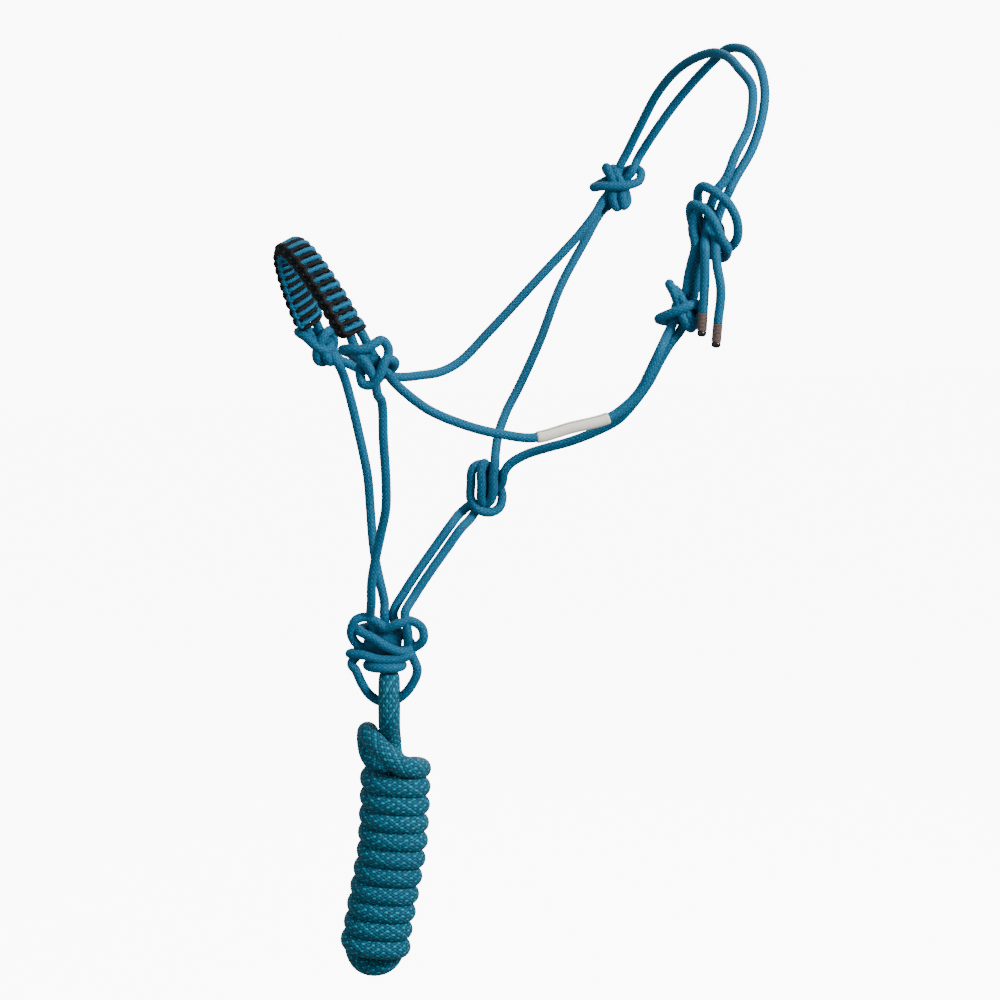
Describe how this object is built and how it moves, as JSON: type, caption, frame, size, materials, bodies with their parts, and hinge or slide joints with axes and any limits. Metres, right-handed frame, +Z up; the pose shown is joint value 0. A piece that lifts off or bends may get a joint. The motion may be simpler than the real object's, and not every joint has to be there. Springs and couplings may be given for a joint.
{
  "type": "rope halter with lead",
  "caption": "Knotted teal rope halter with a cord-woven noseband, a side tie and a matching lead rope wound in a hank.",
  "frame": {"origin": "the poll: where the crown strands rest on the animal's head, on its mid-plane", "axes": "+Z up, +X towards the animal's tail with the noseband at -X, +Y towards the animal's right"},
  "size_m": [0.3392, 0.1906, 0.6233],
  "materials": {
    "halter_rope": "teal braided polyester rope",
    "lead_rope": "teal braided lead rope with bright cyan and dark flecks",
    "weave_teal": "teal cord woven with black cord, in bars across the noseband",
    "weave_black": "black cord woven with teal cord, lower half of the noseband's cover",
    "label": "cream sleeve, left blank",
    "tip_sleeve": "brown-grey whipped tail end",
    "melted_end": "black melted rope end"
  },
  "bodies": {
    "halter": {"crown_strand_front": "halter_rope", "right_cheek_strand": "halter_rope", "noseband_core_rear": "halter_rope", "left_cheek_strand": "halter_rope", "latch_loop_front_leg": "halter_rope", "latch_loop_rear_leg": "halter_rope", "left_throat_strand": "halter_rope", "link_strand_rear": "halter_rope", "chin_loop": "halter_rope", "left_chin_strand": "halter_rope", "noseband_core_front": "halter_rope", "right_chin_strand": "halter_rope", "link_strand_front": "halter_rope", "right_throat_strand": "halter_rope", "crown_strand_rear": "halter_rope", "right_cheek_knot": "halter_rope", "left_cheek_knot": "halter_rope", "left_nose_knot": "halter_rope", "right_nose_knot": "halter_rope", "throat_knot": "halter_rope", "chin_knot": "halter_rope", "sheet_bend": "halter_rope", "noseband_weave_outer": "weave_teal", "noseband_weave_inner": "weave_black", "label_sleeve": "label"},
    "front_tail": {"tail_front": "halter_rope", "tail_front_sleeve": "tip_sleeve", "tail_front_melted_end": "melted_end"},
    "rear_tail": {"tail_rear": "halter_rope", "tail_rear_sleeve": "tip_sleeve", "tail_rear_melted_end": "melted_end"},
    "lead_link": {"lead_eye": "lead_rope"},
    "lead_hank": {"lead_hank": "lead_rope", "lead_top_bight": "lead_rope"}
  },
  "joints": [
    {"name": "lead_swing", "type": "hinge", "parent": "halter", "child": "lead_link", "pos_m": [-0.25668, 0.00051, -0.427], "axis": [0.9135, -0.4067, 0], "range_deg": [-25, 25]},
    {"name": "hank_sway", "type": "hinge", "parent": "lead_link", "child": "lead_hank", "pos_m": [-0.2558, 0.0001, -0.4576], "axis": [-0.4067, -0.9135, 0], "range_deg": [-8, 8]},
    {"name": "front_tail_swing", "type": "hinge", "parent": "halter", "child": "front_tail", "pos_m": [-0.06707, -0.08584, -0.1285], "axis": [-0.9135, 0.4067, 0], "range_deg": [-3, 45]},
    {"name": "rear_tail_swing", "type": "hinge", "parent": "halter", "child": "rear_tail", "pos_m": [-0.06054, -0.09194, -0.13951], "axis": [-0.9135, 0.4067, 0], "range_deg": [-1, 45]}
  ]
}
